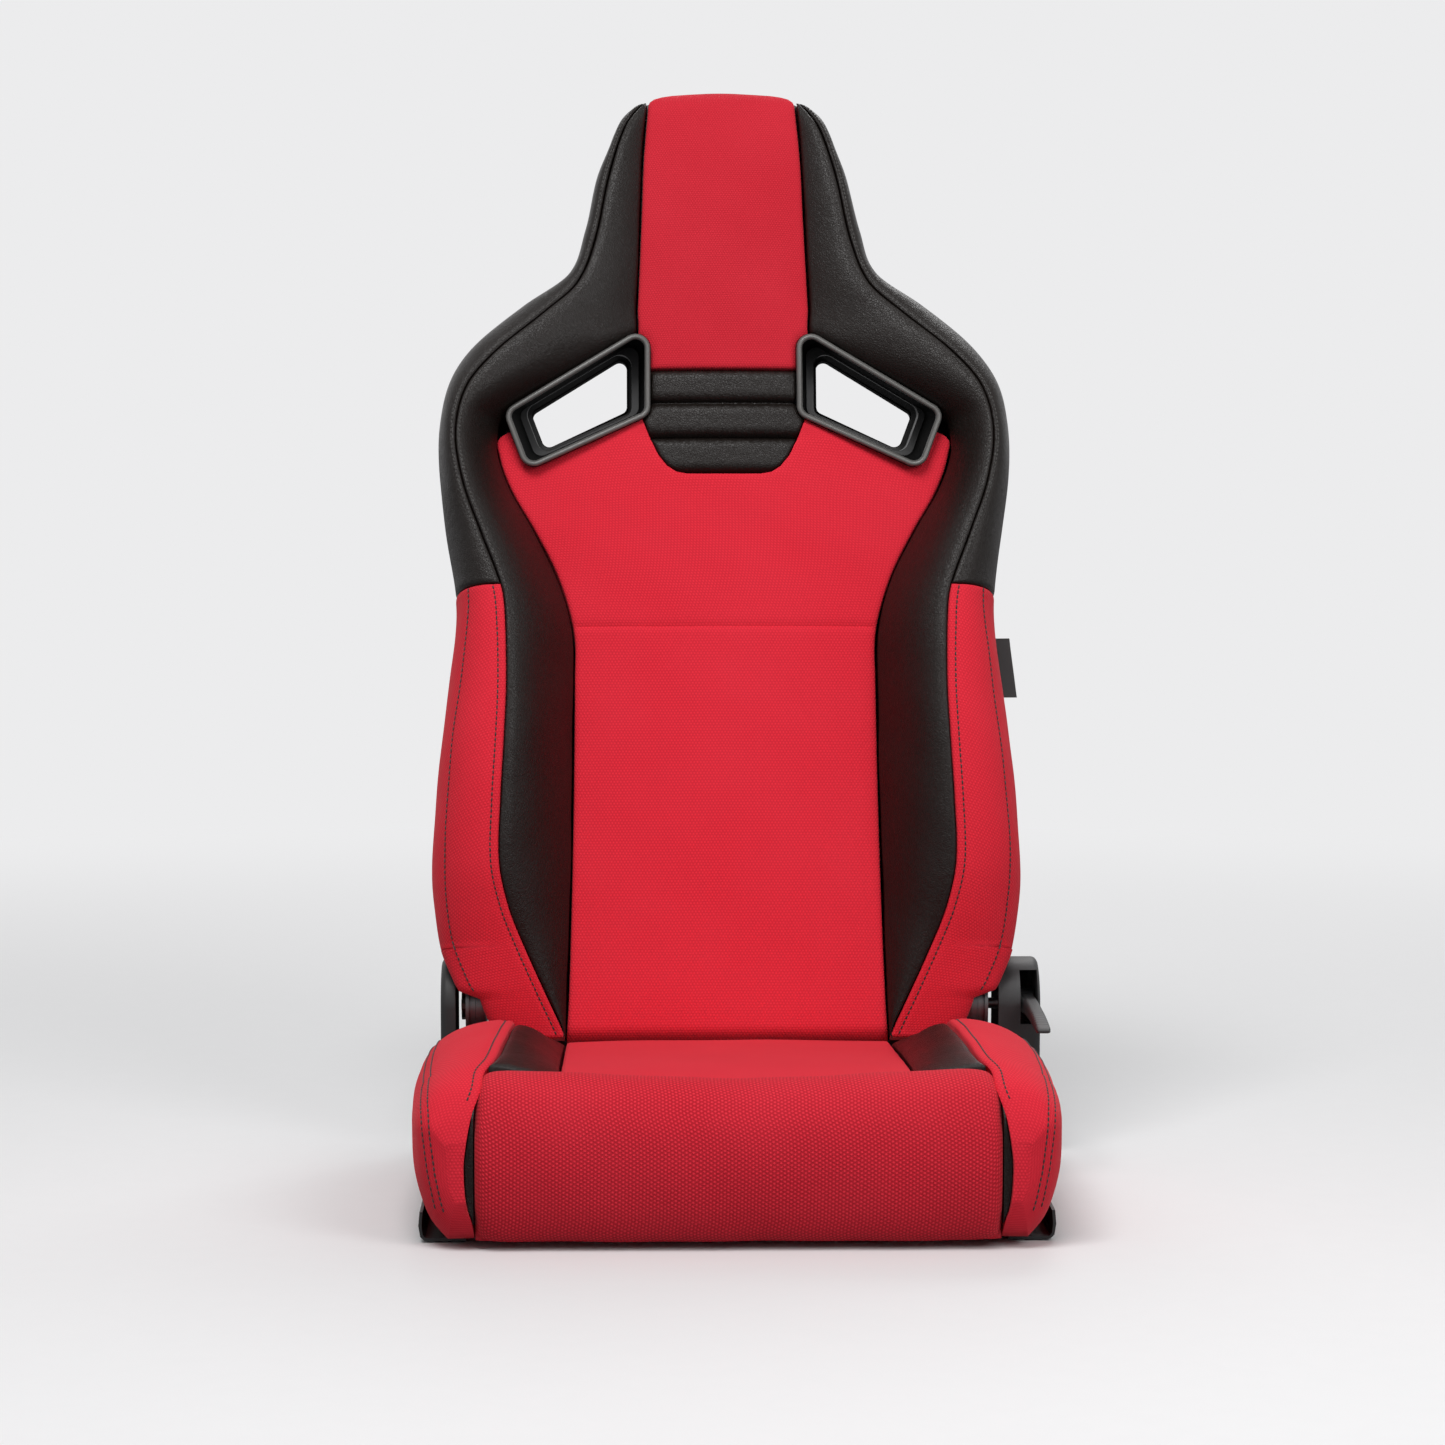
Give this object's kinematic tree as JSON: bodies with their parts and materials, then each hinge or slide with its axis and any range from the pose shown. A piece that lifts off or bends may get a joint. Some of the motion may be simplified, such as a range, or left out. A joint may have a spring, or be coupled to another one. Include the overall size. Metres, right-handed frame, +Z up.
{
  "type": "reclining sports seat",
  "caption": "Bucket seat for a car, with fabric and leather bolsters, harness slots through the backrest and round recliners released by a side lever.",
  "frame": {"origin": "centre of the base bolt pattern, on the underside of the side frames", "axes": "+Z up, the seat faces -Y, +X to the sitter's left"},
  "size_m": [0.5594, 0.7841, 0.9832],
  "materials": {
    "red_fabric": "woven",
    "black_leather": "satin",
    "grey_plastic": "satin",
    "black_plastic": "grained",
    "tag_cloth": "woven",
    "zinc_steel": "zinc plated",
    "spring_steel": "oiled",
    "painted_steel": "black powder coat"
  },
  "bodies": {
    "base": {"side_frame_left": "painted_steel", "side_frame_right": "painted_steel", "front_cross_tube": "painted_steel", "rear_cross_tube": "painted_steel", "base_weld_nuts": "zinc_steel", "seat_springs_zigzag": "spring_steel", "recliner_bracket_left": "zinc_steel", "recliner_bracket_right": "zinc_steel", "recliner_fixed_discs": "zinc_steel", "recliner_bolts": "zinc_steel", "cushion_centre": "red_fabric", "front_roll": "red_fabric", "cushion_bolster_left": "red_fabric", "cushion_bolster_right": "red_fabric", "cushion_inner_panel_left": "black_leather", "cushion_inner_panel_right": "black_leather", "side_skirt_left": "black_plastic", "side_skirt_right": "black_plastic", "recliner_cover_left": "black_plastic", "recliner_cover_right": "black_plastic", "lever_return_spring": "spring_steel"},
    "backrest": {"recliner_arm_left": "zinc_steel", "recliner_arm_right": "zinc_steel", "recliner_moving_discs": "zinc_steel", "back_frame_tube": "painted_steel", "back_cross_tube": "painted_steel", "back_wires": "spring_steel", "rear_cover": "black_plastic", "back_insert": "red_fabric", "wing_pad_left": "black_leather", "wing_pad_right": "black_leather", "side_bolster_left": "red_fabric", "side_bolster_right": "red_fabric", "shoulder_side_left": "black_leather", "shoulder_side_right": "black_leather", "head_insert": "red_fabric", "head_band": "black_leather", "neck_pad": "black_leather", "harness_duct_left": "grey_plastic", "harness_duct_right": "grey_plastic", "duct_rear_ring_left": "grey_plastic", "duct_rear_ring_right": "grey_plastic", "side_tag": "tag_cloth"},
    "release": {"release_shaft": "zinc_steel", "release_lever": "black_plastic"}
  },
  "joints": [
    {"name": "recline", "type": "hinge", "parent": "base", "child": "backrest", "pos_m": [0, 0.24, 0.135], "axis": [-1, 0, 0], "range_deg": [-50, 50]},
    {"name": "lever_lift", "type": "hinge", "parent": "base", "child": "release", "pos_m": [0, 0.24, 0.135], "axis": [-1, 0, 0], "range_deg": [0, 28], "stiffness_Nm_per_rad": 2.5, "springref_deg": -14.32}
  ]
}
